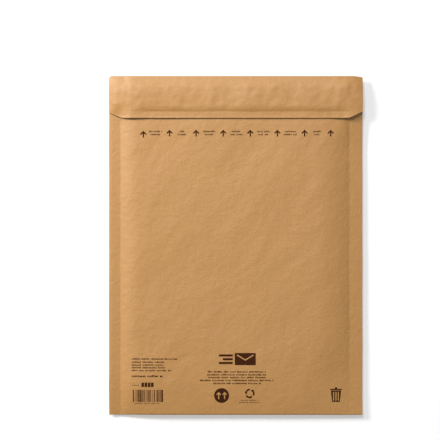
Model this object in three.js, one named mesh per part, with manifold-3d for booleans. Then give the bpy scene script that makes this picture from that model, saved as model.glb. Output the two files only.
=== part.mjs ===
// A padded kraft mailing envelope, new and empty, lying on its back with its flap folded down.
// Millimetres, +Z up. Its length runs along +Y, towards the flap's fold, and the printed front faces up.
// The origin is on the surface that it rests on, under the middle of its outline.
import * as THREE from "three";
import { mergeVertices } from "three/addons/utils/BufferGeometryUtils.js";
import Module from "manifold-3d";

const wasm = await Module();
wasm.setup();

// Outline, folded
const width = 255; // across both side seams
const length = 341; // from the bottom fold to the top fold
const thickness = 10; // back to front over the padding, without the flap

// Plies
const kraft = 0.35; // the outer sheet
const linerPaper = 0.2; // the inner liner
const seamGlue = 0.1; // between the liner's two walls, in the side seams
const pocketGap = 0.6; // left between the liner's walls in the empty pocket
const plyGap = 0.15; // between curved plies that lie on each other

// Walls
const seamWidth = 13; // the flat glued band at each side
const shoulderRun = 10; // from a seam to the full thickness
const bottomRun = 12; // from the bottom fold to the full thickness
const lipRun = 14; // from the mouth to the full thickness
const crown = 2.2; // how full the padded edges are: 1 is a straight wedge

// Mouth and flap
const mouthInset = 7; // from the top fold down to the mouth of the pocket
const flapDepth = 42.6; // from the top fold to the flap's free edge
const flapRun = 20; // from the top fold to where the flap lies level
const flapClearance = 0.3; // between the flap and the front wall
const cornerRise = 6; // the flap's cut corners
const cornerWidth = 13;
const cornerRound = 1.6;

// Closing strip under the flap
const releaseWidth = 22; // the peel-off paper strip
const releasePaper = 0.15;
const releaseMargin = 9; // from the flap's free edge
const releaseInset = 20; // from the envelope's side edges
const adhesive = 0.2;
const adhesiveInset = 2; // bare rim of the peel-off strip round the adhesive
const stripRamp = 3; // over which the flap comes down past the strip

// Padding and liner inside
const paddingSideInset = 2; // from the seams
const paddingMouthInset = 3; // from the mouth
const linerFoldInset = 6; // from the bottom fold to the liner's own fold
const glueInset = 0.5; // from the edges of the seams

// Print on the front, which keeps to the level part between the padded edges
const ink = 0.1;
const printMargin = 0.3; // from the padded edges
const arrowCount = 8;
const arrowLeft = 34.3; // from the left edge to the first arrow's middle
const arrowRight = 32.4; // from the right edge to the last arrow's middle
const arrowBelowFlap = 11.5; // from the flap's free edge to the arrows' tips
const arrowHeight = 6.8;
const arrowSpan = 6.2;
const arrowStroke = 1.3;
const lineHeight = 1.3;
const lineGap = 1.6;
const noteLines = [46.5, 33.6, 32.8, 34.6, 41];
const sizeLineWidth = 32;
const sizeLineHeight = 1.6;
const sizeLineGap = 4.1; // under the note
const barcodeWidth = 30;
const barcodeHeight = 12.9;
const barcodeGap = 13.2; // under the size line
const barcodeRail = 0.4;
const barcodeBars = [2, 1, 1, 2, 3, 1, 1, 1, 2, 1, 1, 3, 1, 2, 2, 1, 3, 2, 1, 1, 1, 2, 1, 2, 3, 1, 2];
const legendShift = 1.1; // from the envelope's middle to the central print's
const legendLines = [58, 60, 58, 74, 48];
const legendGap = 4; // above the badge
const letterWidth = 21;
const letterHeight = 12.2;
const letterStroke = 1.2;
const letterFold = 4.6; // height of the point of its flap
const letterGap = 6; // above the legend
const speedLines = [14, 10, 14];
const speedLineHeight = 2.1;
const speedLineGap = 1.7;
const speedLineInset = 2; // from the letter
const badgeRadius = 7.4;
const badgeOffset = 15.3; // from the central print's middle
const badgeArrowHeight = 7.4;
const badgeArrowSpan = 4.9;
const badgeArrowGap = 1; // between its two arrows
const loopRadius = 3.7; // to the middle of its band
const loopBand = 1.5;
const loopTail = 70; // degrees of band in each arrow
const loopHead = 30; // degrees of its point
const loopOffset = 13.2; // from the central print's middle
const loopNotes = [22, 17.4];
const loopNoteGap = 0.8;
const binWidth = 10;
const binHeight = 13.6;
const binLid = 10.6; // height of the lid's middle
const binTaper = 1.4;
const binKnob = 2.4;
const binStroke = 1.2;

const kraftBrown = new THREE.MeshStandardMaterial({ color: "#be8f5d", roughness: 0.8 });
const fibreBrown = new THREE.MeshStandardMaterial({ color: "#a98a66", roughness: 0.95 });
const linerBrown = new THREE.MeshStandardMaterial({ color: "#c69a6b", roughness: 0.85 });
const glueAmber = new THREE.MeshStandardMaterial({ color: "#d8c08a", roughness: 0.35 });
const releaseWhite = new THREE.MeshStandardMaterial({ color: "#ece6d8", roughness: 0.45 });
const inkBrown = new THREE.MeshStandardMaterial({ color: "#3c1e10", roughness: 0.7 });

const envelope = new THREE.Group();
envelope.position.y = -length / 2;

function addPiece(name, geometry, material) {
  const piece = new THREE.Mesh(geometry, material);
  piece.name = name;
  envelope.add(piece);
  return piece;
}

// Section of the walls

const middle = thickness / 2; // height of the plane where front and back meet
const mouth = length - mouthInset;
const padSteps = [0.12, 0.27, 0.45, 0.68, 1]; // where a padded edge is sampled along its run
const foldSteps = 4;
const plateauSteps = 5;
const linerSteps = 3;
const stationGap = 0.15; // the least distance between two lines of a grid

const share = (value) => THREE.MathUtils.clamp(value, 0, 1);
const swell = (value) => 1 - (1 - share(value)) ** crown;
const edgeDistance = (x) => width / 2 - Math.abs(x);
const sideSwell = (x) => swell((edgeDistance(x) - seamWidth) / shoulderRun);

// Half of the pocket's gap, which closes to the glue line in the seams.
const pocketHalf = (x) => seamGlue / 2 + ((pocketGap - seamGlue) / 2) * sideSwell(x);
const linerHalf = (x) => pocketHalf(x) + linerPaper;

// Height of the front face above the middle plane. The back is its mirror image.
function bodyHalf(x, y) {
  const pressed = linerHalf(x) + kraft;
  const full = sideSwell(x) * swell(y / bottomRun) * swell((mouth - y) / lipRun);
  return pressed + (thickness / 2 - pressed) * full;
}

// The flap spans the seam's crease near its fold and follows the front wall at its free edge.
function flapHalf(x, y) {
  const tuckedIn = share((y - length + flapDepth) / (flapDepth - flapRun));
  const bridge = swell(edgeDistance(x) / (seamWidth + shoulderRun)) * swell((length - y) / flapRun);
  const pressed = linerHalf(x) + kraft;
  const spanned = pressed + (thickness / 2 - pressed) * bridge * tuckedIn;
  return Math.max(bodyHalf(x, y), spanned);
}

// How far the flap's outer face lies above flapHalf: its own ply, its clearance and the closing strip.
const stripStack = releasePaper + adhesive + 2 * plyGap;
const stripEnd = flapDepth - releaseMargin;
function flapRise(x, y) {
  const down = length - y;
  const past = share((stripEnd + stripRamp - down) / stripRamp);
  const beside = share((edgeDistance(x) - releaseInset + stripRamp) / stripRamp);
  return (kraft + flapClearance + stripStack * past * beside) * share(down / mouthInset);
}
const flapFace = (x, y) => middle + flapHalf(x, y) + flapRise(x, y);

// Where the flap's free edge climbs at its cut corners.
function cornerLift(x) {
  const slope = cornerRise / cornerWidth;
  const distance = edgeDistance(x);
  if (distance <= cornerWidth - cornerRound) return slope * (cornerWidth - distance);
  const round = share((distance - cornerWidth + cornerRound) / (2 * cornerRound));
  return slope * cornerRound * (1 - round) ** 2;
}

// Grids

const mirrored = (distances) => {
  const right = distances.map((distance) => width / 2 - distance);
  return [...right.map((x) => -x), 0, ...right.toReversed()];
};
const evenly = (from, to, count) => {
  return Array.from({ length: count + 1 }, (_, i) => THREE.MathUtils.lerp(from, to, i / count));
};

// Values in rising order, without those that lie too near the one after.
const ordered = (values) => {
  return values.toSorted((a, b) => a - b).filter((value, i, all) => !(all[i + 1] - value < stationGap));
};
const between = (values, from, to) => {
  return ordered(values).filter((value) => value > from + stationGap && value < to - stationGap);
};

const shoulderColumns = padSteps.map((step) => seamWidth + shoulderRun * step);
const plateauColumn = (seamWidth + shoulderRun + width / 2) / 2;
const stripColumns = [releaseInset - stripRamp, releaseInset];
const columnDistances = ordered([
  0,
  cornerWidth - cornerRound,
  seamWidth,
  ...shoulderColumns,
  ...stripColumns,
  plateauColumn,
]);
const wallColumns = mirrored(columnDistances);

// A closed slab. outer and inner give the points of its two faces by column and row number.
function slab(columnCount, rowCount, outer, inner) {
  const geometry = new THREE.BoxGeometry(1, 1, 1, columnCount - 1, rowCount - 1, 1);
  const position = geometry.attributes.position;
  for (let i = 0; i < position.count; i++) {
    const column = Math.round((position.getX(i) + 0.5) * (columnCount - 1));
    const row = Math.round((position.getY(i) + 0.5) * (rowCount - 1));
    const point = position.getZ(i) > 0 ? outer(column, row) : inner(column, row);
    position.setXYZ(i, point.x, point.y, point.z);
  }
  geometry.computeVertexNormals();
  return geometry;
}

// A ply of even thickness about the middle surface that the rows give, each a function of x.
function ply(columns, rows, paper) {
  const grid = columns.map((x) => rows.map((row) => row(x)));
  const heading = (from, to) => to.clone().sub(from).normalize();
  const face = (side) => (i, j) => {
    const here = grid[i][j];
    const across = new THREE.Vector3();
    const along = new THREE.Vector3();
    if (i > 0) across.add(heading(grid[i - 1][j], here));
    if (i < columns.length - 1) across.add(heading(here, grid[i + 1][j]));
    if (j > 0) along.add(heading(grid[i][j - 1], here));
    if (j < rows.length - 1) along.add(heading(here, grid[i][j + 1]));
    return across.cross(along).normalize().multiplyScalar((side * paper) / 2).add(here);
  };
  return slab(columns.length, rows.length, face(1), face(-1));
}

// A layer between two heights, each a function of x and y.
function layer(columns, rows, top, bottom) {
  const face = (height) => (i, j) => {
    return new THREE.Vector3(columns[i], rows[j], height(columns[i], rows[j]));
  };
  return slab(columns.length, rows.length, face(top), face(bottom));
}

// A fold from one wall into the other, as turns from straight down to straight up.
const foldTurns = evenly(-Math.PI / 2, Math.PI / 2, foldSteps);

// Outer sheet: one piece of kraft from the flap's free edge, over the back, to the mouth of the front

function flapRow(down) {
  return (x) => {
    const y = length - down * (1 - cornerLift(x) / flapDepth);
    return new THREE.Vector3(x, y, flapFace(x, y) - kraft / 2);
  };
}

function wallRow(y, side) {
  return (x) => new THREE.Vector3(x, y, middle + side * (bodyHalf(x, y) - kraft / 2));
}

const foldReach = linerPaper + pocketGap / 2 + kraft; // how far a fold's round part reaches inwards
const topFoldY = length - foldReach;

function topFoldRow(turn) {
  return (x) => {
    const high = flapRow(foldReach)(x).z;
    const low = wallRow(topFoldY, -1)(x).z;
    const y = topFoldY + (foldReach - kraft / 2) * Math.cos(turn);
    return new THREE.Vector3(x, y, (high + low) / 2 + ((high - low) / 2) * Math.sin(turn));
  };
}

function bottomFoldRow(turn) {
  return (x) => {
    const half = bodyHalf(x, 0) - kraft / 2;
    const y = foldReach - (foldReach - kraft / 2) * Math.cos(turn);
    return new THREE.Vector3(x, y, middle + half * Math.sin(turn));
  };
}

const flapStations = ordered([
  ...padSteps.map((step) => step * flapRun),
  mouthInset,
  stripEnd - releaseWidth,
  (flapRun + stripEnd) / 2,
  stripEnd,
  stripEnd + stripRamp,
  flapDepth,
]);
const lipStations = padSteps.map((step) => mouth - step * lipRun);
const bottomStations = padSteps.map((step) => step * bottomRun);
const plateauStations = evenly(bottomRun, mouth - lipRun, plateauSteps);
const wallStations = ordered([...bottomStations, ...plateauStations, ...lipStations]);

function outerSheet() {
  const rows = [
    ...flapStations.toReversed().map(flapRow),
    ...foldTurns.toReversed().map(topFoldRow),
    wallRow(mouth, -1),
    ...wallStations.toReversed().map((y) => wallRow(y, -1)),
    ...foldTurns.map(bottomFoldRow),
    ...wallStations.map((y) => wallRow(y, 1)),
    wallRow(mouth, 1),
  ];
  return ply(wallColumns, rows, kraft);
}

// Inner liner: a folded sheet that lines the pocket and is glued to itself in the side seams

const linerRow = (y, side) => (x) => {
  return new THREE.Vector3(x, y, middle + side * (linerHalf(x) - linerPaper / 2));
};

function linerFoldRow(turn) {
  return (x) => {
    const half = linerHalf(x) - linerPaper / 2;
    const y = linerFoldInset + linerPaper / 2 + half * (1 - Math.cos(turn));
    return new THREE.Vector3(x, y, middle + half * Math.sin(turn));
  };
}

function innerLiner() {
  const walls = evenly(bottomRun, mouth, linerSteps);
  const rows = [
    ...walls.toReversed().map((y) => linerRow(y, -1)),
    ...foldTurns.map(linerFoldRow),
    ...walls.map((y) => linerRow(y, 1)),
  ];
  return ply(wallColumns, rows, linerPaper);
}

// Padding: a folded pad of soft paper between the outer sheet and the liner

function padding() {
  const side = seamWidth + paddingSideInset;
  const columns = mirrored([side, ...between(columnDistances, side, width / 2)]);
  const noseStart = bottomStations[1];
  const end = mouth - paddingMouthInset;
  const stations = [...between(wallStations, noseStart, end), end];
  const outerHalf = (x, y) => bodyHalf(x, y) - kraft - plyGap;
  const innerHalf = (x) => linerHalf(x) + plyGap;
  const rows = [
    ...stations.toReversed().map((y) => ({ y, side: -1 })),
    ...foldTurns.map((turn) => ({ turn })),
    ...stations.map((y) => ({ y, side: 1 })),
  ];
  const outer = (i, j) => {
    const x = columns[i];
    const { y, side, turn } = rows[j];
    if (side) return new THREE.Vector3(x, y, middle + side * outerHalf(x, y));
    const nose = noseStart * (1 - Math.cos(turn) / 2);
    return new THREE.Vector3(x, nose, middle + outerHalf(x, noseStart) * Math.sin(turn));
  };
  const inner = (i, j) => {
    const x = columns[i];
    const { y, side, turn } = rows[j];
    const half = innerHalf(x);
    if (side) return new THREE.Vector3(x, Math.max(y, linerFoldInset + half), middle + side * half);
    const nose = linerFoldInset - plyGap + half * (1 - Math.cos(turn));
    return new THREE.Vector3(x, nose, middle + half * Math.sin(turn));
  };
  return slab(columns.length, rows.length, outer, inner);
}

// Glue in the side seams, between the liner's two walls

function seamGlueStrip(side) {
  const from = linerFoldInset + linerPaper + seamGlue + glueInset;
  const to = mouth - glueInset;
  const strip = new THREE.BoxGeometry(seamWidth - 2 * glueInset, to - from, seamGlue);
  return strip.translate(side * ((width - seamWidth) / 2), (from + to) / 2, middle);
}

// Closing strip: adhesive on the flap's underside, under a peel-off paper

function closingLayer(inset, depthBelowFlap, paper) {
  const reach = releaseInset + inset;
  const columns = mirrored([reach, ...between(columnDistances, reach, width / 2)]);
  const from = length - stripEnd + inset;
  const to = from + releaseWidth - 2 * inset;
  const stations = flapStations.map((down) => length - down);
  const rows = [from, ...between(stations, from, to), to];
  const top = (x, y) => flapFace(x, y) - kraft - depthBelowFlap;
  return layer(columns, rows, top, (x, y) => top(x, y) - paper);
}

addPiece("outer_sheet", outerSheet(), kraftBrown);
addPiece("padding", padding(), fibreBrown);
addPiece("inner_liner", innerLiner(), linerBrown);
addPiece("seam_glue_left", seamGlueStrip(-1), glueAmber);
addPiece("seam_glue_right", seamGlueStrip(1), glueAmber);
addPiece("flap_adhesive", closingLayer(adhesiveInset, plyGap, adhesive), glueAmber);
addPiece("release_strip", closingLayer(0, adhesive + 2 * plyGap, releasePaper), releaseWhite);

// Print: flat fields of ink on the level front

function addInk(name, geometry, left, bottom) {
  addPiece(name, geometry, inkBrown).position.set(left - width / 2, bottom, thickness);
}

const outlineOf = (points) => new THREE.Shape(points.map(([x, y]) => new THREE.Vector2(x, y)));
const inkField = (shape) => {
  return new THREE.ExtrudeGeometry(shape, { depth: ink, bevelEnabled: false, curveSegments: 8 });
};
const inkBar = (x, y, w, h) => inkField(outlineOf([[x, y], [x + w, y], [x + w, y + h], [x, y + h]]));

function toSolid(geometry) {
  const bare = geometry.clone();
  bare.deleteAttribute("normal");
  bare.deleteAttribute("uv");
  const merged = mergeVertices(bare);
  const vertProperties = new Float32Array(merged.attributes.position.array);
  const triVerts = new Uint32Array(merged.index.array);
  return new wasm.Manifold(new wasm.Mesh({ numProp: 3, vertProperties, triVerts }));
}

// One field joined from several, with the given parts left bare.
function joined(fields, bareParts = []) {
  const whole = fields.map(toSolid).reduce((all, next) => all.add(next));
  const cut = bareParts.map(toSolid).reduce((rest, next) => rest.subtract(next), whole);
  const mesh = cut.getMesh();
  const geometry = new THREE.BufferGeometry();
  geometry.setAttribute("position", new THREE.BufferAttribute(mesh.vertProperties, 3));
  geometry.setIndex(new THREE.BufferAttribute(mesh.triVerts, 1));
  geometry.computeVertexNormals();
  return geometry;
}

// An arrow that points up, with an open head, centred on its own middle.
function arrowShape(span, height, stroke) {
  const drop = span / 2; // the head's arms fall at 45 degrees
  const arm = stroke * Math.SQRT1_2;
  const top = height / 2;
  const right = [
    [span / 2, top - drop],
    [span / 2 - arm, top - drop - arm],
    [stroke / 2, top - 2 * arm - stroke / 2],
    [stroke / 2, -top],
  ];
  const left = right.toReversed().map(([x, y]) => [-x, y]);
  return outlineOf([[0, top], ...right, ...left].toReversed());
}

const arrowPitch = (width - arrowLeft - arrowRight) / (arrowCount - 1);
const arrowMiddle = length - flapDepth - arrowBelowFlap - arrowHeight / 2;
for (let i = 0; i < arrowCount; i++) {
  const arrow = inkField(arrowShape(arrowSpan, arrowHeight, arrowStroke));
  addInk(`opening_arrow_${i + 1}`, arrow, arrowLeft + i * arrowPitch, arrowMiddle);
}

// Lines of small print, from the top line down, that end at a bottom.
// They start at a place, or have their middles there.
function addLines(name, widths, place, bottom, gap, centred) {
  widths.forEach((lineWidth, i) => {
    const start = centred ? -lineWidth / 2 : 0;
    const rise = (widths.length - 1 - i) * (lineHeight + gap);
    addInk(`${name}_${i + 1}`, inkBar(start, 0, lineWidth, lineHeight), place, bottom + rise);
  });
}
const stackHeight = (widths, gap) => widths.length * lineHeight + (widths.length - 1) * gap;

const printLeft = seamWidth + shoulderRun + printMargin;
const printBottom = bottomRun + printMargin;
const sizeLineBottom = printBottom + barcodeHeight + barcodeGap;
const noteBottom = sizeLineBottom + sizeLineHeight + sizeLineGap;
addLines("note_line", noteLines, printLeft, noteBottom, lineGap, false);
addInk("size_line", inkBar(0, 0, sizeLineWidth, sizeLineHeight), printLeft, sizeLineBottom);

const legendMiddle = width / 2 + legendShift;
const legendBottom = printBottom + 2 * badgeRadius + legendGap;
addLines("legend_line", legendLines, legendMiddle, legendBottom, lineGap, true);

// Bars between two thin rails.
function barcode() {
  const unit = barcodeWidth / barcodeBars.reduce((sum, bar) => sum + bar, 0);
  const rails = [0, barcodeHeight - barcodeRail].map((y) => inkBar(0, y, barcodeWidth, barcodeRail));
  const bars = [];
  let left = 0;
  barcodeBars.forEach((bar, i) => {
    if (i % 2 === 0) bars.push(inkBar(left, 0, bar * unit, barcodeHeight));
    left += bar * unit;
  });
  return joined([...rails, ...bars]);
}
addInk("barcode", barcode(), printLeft, printBottom);

// A plain letter, which is a filled rectangle with the V of its flap left bare, and lines of speed.
function letterSign() {
  const side = letterWidth / 2 - letterStroke;
  const top = letterHeight - letterStroke;
  const drop = top - letterFold;
  const slant = Math.hypot(side, drop);
  const upper = letterFold + (letterStroke * slant) / side;
  const inner = side - (letterStroke * slant) / drop;
  const lowerEdge = [[-side, top], [0, letterFold], [side, top]];
  const upperEdge = [[inner, top], [0, upper], [-inner, top]];
  const field = inkBar(-letterWidth / 2, 0, letterWidth, letterHeight);
  return joined([field], [inkField(outlineOf([...lowerEdge, ...upperEdge]))]);
}
const signBottom = legendBottom + stackHeight(legendLines, lineGap) + letterGap;
const signWidth = Math.max(...speedLines) + speedLineInset + letterWidth;
const signRight = legendMiddle + signWidth / 2;
addInk("letter_sign", letterSign(), signRight - letterWidth / 2, signBottom);

const speedStack = speedLines.length * speedLineHeight + (speedLines.length - 1) * speedLineGap;
speedLines.forEach((lineWidth, i) => {
  const rise = (letterHeight - speedStack) / 2 + i * (speedLineHeight + speedLineGap);
  const line = inkBar(-lineWidth, rise, lineWidth, speedLineHeight);
  addInk(`speed_line_${i + 1}`, line, signRight - letterWidth - speedLineInset, signBottom);
});

// A round badge with two arrows left bare: this way up.
function badge() {
  const arrows = [-1, 1].map((side) => {
    const arrow = inkField(arrowShape(badgeArrowSpan, badgeArrowHeight, arrowStroke));
    return arrow.translate((side * (badgeArrowSpan + badgeArrowGap)) / 2, 0, 0);
  });
  return joined([inkField(new THREE.Shape().absarc(0, 0, badgeRadius, 0, 2 * Math.PI))], arrows);
}
addInk("upright_badge", badge(), legendMiddle - badgeOffset, printBottom + badgeRadius);

// One of three arrows that chase each other round a circle: a bent band with a pointed head.
function loopArrowShape(turn) {
  const bandEnd = turn + THREE.MathUtils.degToRad(loopTail);
  const tip = bandEnd + THREE.MathUtils.degToRad(loopHead);
  const inner = loopRadius - loopBand / 2;
  const outer = loopRadius + loopBand / 2;
  const at = (radius, angle) => [radius * Math.cos(angle), radius * Math.sin(angle)];
  const shape = new THREE.Shape();
  shape.moveTo(...at(inner, turn));
  shape.lineTo(...at(outer, turn));
  shape.absarc(0, 0, outer, turn, bandEnd);
  shape.lineTo(...at(outer + loopBand / 2, bandEnd));
  shape.lineTo(...at(loopRadius, tip));
  shape.lineTo(...at(inner - loopBand / 2, bandEnd));
  shape.absarc(0, 0, inner, bandEnd, turn, true);
  return shape;
}
const loopBottom = printBottom + stackHeight(loopNotes, loopNoteGap) + loopNoteGap;
const loopMiddle = loopBottom + loopRadius + loopBand;
for (let i = 0; i < 3; i++) {
  const turn = (i * 2 * Math.PI) / 3;
  addInk(`loop_arrow_${i + 1}`, inkField(loopArrowShape(turn)), legendMiddle + loopOffset, loopMiddle);
}
addLines("loop_note", loopNotes, legendMiddle + loopOffset, printBottom, loopNoteGap, true);

// A waste bin with a lid and a knob, and the spaces between its staves left bare.
function binSign() {
  const body = outlineOf([[binTaper, 0], [binWidth - binTaper, 0], [binWidth, binLid], [0, binLid]]);
  const spaces = [-1, 0, 1].map((place) => {
    const left = binWidth / 2 - binStroke / 2 + place * 2 * binStroke;
    return inkBar(left, binStroke, binStroke, binLid - 2 * binStroke);
  });
  const fields = [
    inkField(body),
    inkBar(-binStroke / 2, binLid - binStroke / 2, binWidth + binStroke, binStroke),
    inkBar((binWidth - binKnob) / 2, binLid, binKnob, binHeight - binLid),
  ];
  return joined(fields, spaces);
}
addInk("bin_sign", binSign(), width - printLeft - binWidth - binStroke / 2, printBottom);

export default envelope;
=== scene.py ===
import math

import bmesh
import bpy
import numpy as np
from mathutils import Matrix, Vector
from mathutils.geometry import tessellate_polygon


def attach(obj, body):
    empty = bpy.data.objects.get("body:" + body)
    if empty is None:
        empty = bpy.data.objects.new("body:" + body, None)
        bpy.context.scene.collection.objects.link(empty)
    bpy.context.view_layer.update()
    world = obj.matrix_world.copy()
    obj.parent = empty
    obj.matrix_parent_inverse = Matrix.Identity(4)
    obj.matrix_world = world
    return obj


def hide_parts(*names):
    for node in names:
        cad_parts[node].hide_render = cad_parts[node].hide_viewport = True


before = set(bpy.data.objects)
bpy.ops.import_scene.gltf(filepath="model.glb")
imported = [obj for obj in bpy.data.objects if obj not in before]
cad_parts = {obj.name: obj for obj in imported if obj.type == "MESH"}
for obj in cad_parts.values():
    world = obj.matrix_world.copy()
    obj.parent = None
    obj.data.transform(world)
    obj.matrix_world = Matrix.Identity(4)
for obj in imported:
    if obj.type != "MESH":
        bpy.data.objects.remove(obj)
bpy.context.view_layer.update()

# Shapes are worked out in millimetres: x across from the left seam to the right one, y along to the
# flap's fold, z up from the surface that the envelope lies on. A mesh gets them in metres.
metres = 0.001


# Curves and noise that the shapes share

def swell(value, fullness=2.2):
    # 1 - (1 - value)^fullness: rises at once and levels out at 1
    return 1 - (1 - np.clip(value, 0, 1)) ** fullness


def ease(low, high, value):
    # 3t^2 - 2t^3 from 0 at low to 1 at high
    t = np.clip((value - low) / (high - low), 0, 1)
    return t * t * (3 - 2 * t)


def larger(first, second, blend):
    # (a + b + root((a - b)^2 + blend^2)) / 2: the larger of two heights, with a round change between them
    return (first + second + np.sqrt((first - second) ** 2 + blend * blend)) / 2


lattice = {"knots": 64, "shift": 200, "gain": 1.5}  # the shift keeps the envelope clear of the lattice's 0


def lumps(x, y, sizeX, sizeY, turn, seed):
    # gradient noise, about -1 to 1: slopes at the knots of a turned and stretched lattice, eased between
    # them by 6t^5 - 15t^4 + 10t^3
    angle, count = math.radians(turn), lattice["knots"]
    u = (x * math.cos(angle) + y * math.sin(angle)) / sizeX + lattice["shift"]
    v = (y * math.cos(angle) - x * math.sin(angle)) / sizeY + lattice["shift"]
    column, row = np.floor(u).astype(int), np.floor(v).astype(int)
    u, v = u - column, v - row
    knots = np.random.default_rng(seed).uniform(0, 2 * np.pi, (count, count))

    def knot(i, j):
        # the slope at one knot, times the way from it
        direction = knots[(column + i) % count, (row + j) % count]
        return np.cos(direction) * (u - i) + np.sin(direction) * (v - j)

    across, along = (t * t * t * (t * (6 * t - 15) + 10) for t in (u, v))
    near = knot(0, 0) * (1 - across) + knot(1, 0) * across
    far = knot(0, 1) * (1 - across) + knot(1, 1) * across
    return lattice["gain"] * (near * (1 - along) + far * along)


def layered(x, y, layers):
    # the sum of noise layers, each given as its height, its two sizes, its turn and its seed
    return sum(height * lumps(x, y, *layer) for height, *layer in layers)


# Walls of the body

body = {
    "width": 255,
    "length": 341,
    "thickness": 10,
    "kraft": 0.35,
    "liner": 0.2,
    "glue": 0.1,
    "pocket": 0.6,
    "leftSeam": 11.8,
    "rightSeam": 13.2,
    "seamWave": [(0.35, 34, 1, 0, 3)],
    "leftShoulder": 19,
    "leftFullness": 2.3,
    "rightShoulder": 33,
    "rightFullness": 1.7,
    "longerBelow": (0.8, 70, 20),  # share by which the right shoulder grows, and between which heights
    "shorterAbove": (0.25, 80, 50),  # the same under the flap, measured from the top fold
    "bottomRun": 36,
    "bottomFull": 0.3,
    "bottomFullness": 1.6,
    "lipRun": 14,
    "mouthInset": 7,
    "leftRoll": 0.4,
    "rollRun": 1.3,
    "leftLean": 0.04,
    "rightLean": 0.08,
    "leanGrowth": 0.5,
    "leanRound": 3,
    "leanBelowFlap": (0.9, 47, 38),  # share of the right seam's lean that goes under the flap, and where
    "leftDroop": 2.8,
    "leftReach": 50,
    "rightDroop": -0.6,  # below 0 the corner rises
    "rightReach": 50,
    "droopAcross": (8, 55),
    "seamRise": 1.4,
    "riseAlong": (75, 42),
    "riseAcross": (34, 14),
    "flapPress": 0.4,
    "pressReach": 4,
    "ripple": [(0.12, 30, 22, 20, 14)],
    "mottle": 0.305,
    # the first two layers' seeds were picked for shading that is near the photograph's
    "dents": [(1.8, 75, 38, 48, 4108), (0.8, 42, 19, 52, 4084), (0.42, 15, 9, 60, 12),
              (0.28, 6.5, 5, 35, 13)],
    "backMottle": 0.25,
    "backDents": (34, 24, 15, 15),
    "sideWave": [(0.18, 40, 1, 0, 31)],
}
halfWidth, halfLength = body["width"] / 2, body["length"] / 2
mouth = halfLength - body["mouthInset"]


def sideSwell(x, y):
    # the product of a swell from each seam's inner edge: 0 in the flat seams, 1 over the padding
    wave = layered(y, 0 * y, body["seamWave"])
    left = swell((halfWidth + x - body["leftSeam"] - wave) / body["leftShoulder"], body["leftFullness"])
    (longer, *below), (shorter, *above) = body["longerBelow"], body["shorterAbove"]
    run = 1 + longer * ease(*below, y + halfLength) - shorter * ease(*above, halfLength - y)
    run = body["rightShoulder"] * run
    right = swell((halfWidth - x - body["rightSeam"] + wave) / run, body["rightFullness"])
    return left * right


def linerHalf(x, y):
    # half of the gap in the pocket, or of the glue in the seams, and the liner's own ply
    gap = body["glue"] + (body["pocket"] - body["glue"]) * sideSwell(x, y)
    return gap / 2 + body["liner"]


def middleHeight(x, y):
    # the surface where front and back meet: half the thickness, less a droop of (1 - t)^2 towards the two
    # bottom corners, which is a rise at the right one. Both seams lean down to the right, in proportion to
    # the way from their inner edge, the left one more towards the bottom and the right one more towards the
    # flap, where it also rises
    side = 1 - ease(*body["droopAcross"], halfWidth - np.abs(x))
    reach = np.where(x < 0, body["leftReach"], body["rightReach"])
    droop = np.where(x < 0, body["leftDroop"], body["rightDroop"])
    end = np.clip(1 - (y + halfLength) / reach, 0, 1) ** 2
    inLeft = larger(0, body["leftSeam"] - halfWidth - x, body["leanRound"])
    inRight = larger(0, body["rightSeam"] - halfWidth + x, body["leanRound"])
    less, *where = body["leanBelowFlap"]
    steep = body["rightLean"] * (1 + body["leanGrowth"] * y / halfLength)
    steep = steep * (1 - less * ease(*where, halfLength - y))
    lean = body["leftLean"] * (1 - y / halfLength) * inLeft - steep * inRight
    rise = body["seamRise"] * ease(*body["riseAlong"], halfLength - y)
    rise = rise * ease(*body["riseAcross"], halfWidth - x)
    return body["thickness"] / 2 - droop * side * end + lean + rise


def pillow(x, y):
    # the share of the full thickness: the side swell, times a swell from the bottom fold, where it starts
    # part full, and one from the mouth
    least = body["bottomFull"]
    bottom = least + (1 - least) * swell((y + halfLength) / body["bottomRun"], body["bottomFullness"])
    return sideSwell(x, y) * bottom * swell((mouth - y) / body["lipRun"])


def mottle(x, y):
    # slow dents that run up to the right, and smaller ones among them: the sum of the layers, times a share
    return body["mottle"] * layered(x, y, body["dents"])


def outerFace(x, y, side):
    # height of the front's (side 1) or the back's (side -1) outer face: the middle, and to each side the
    # plies plus the pillow's share of what is left of half the thickness, less (1 - t)^2 at the rolled left
    # edge; the front has dents and a groove e^(-way / reach) under the flap's edge, and the back stays on
    # the ground
    pressed = linerHalf(x, y) + body["kraft"]
    full = pillow(x, y)
    rise = pressed + (body["thickness"] / 2 - pressed) * full
    rolled = body["leftRoll"] * np.clip(1 - (halfWidth + x) / body["rollRun"], 0, 1) ** 2
    height = middleHeight(x, y) + side * (rise - rolled)
    height = height + layered(x, y, body["ripple"]) * (1 - full)
    if side > 0:
        press = body["flapPress"] * np.exp(-np.abs(halfLength - flap["depth"] - y) / body["pressReach"])
        return height + (mottle(x, y) - press) * full
    return np.maximum(height + body["backMottle"] * (1 + lumps(x, y, *body["backDents"])) * full, 0)


# The flap, which is part of the outer sheet

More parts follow.
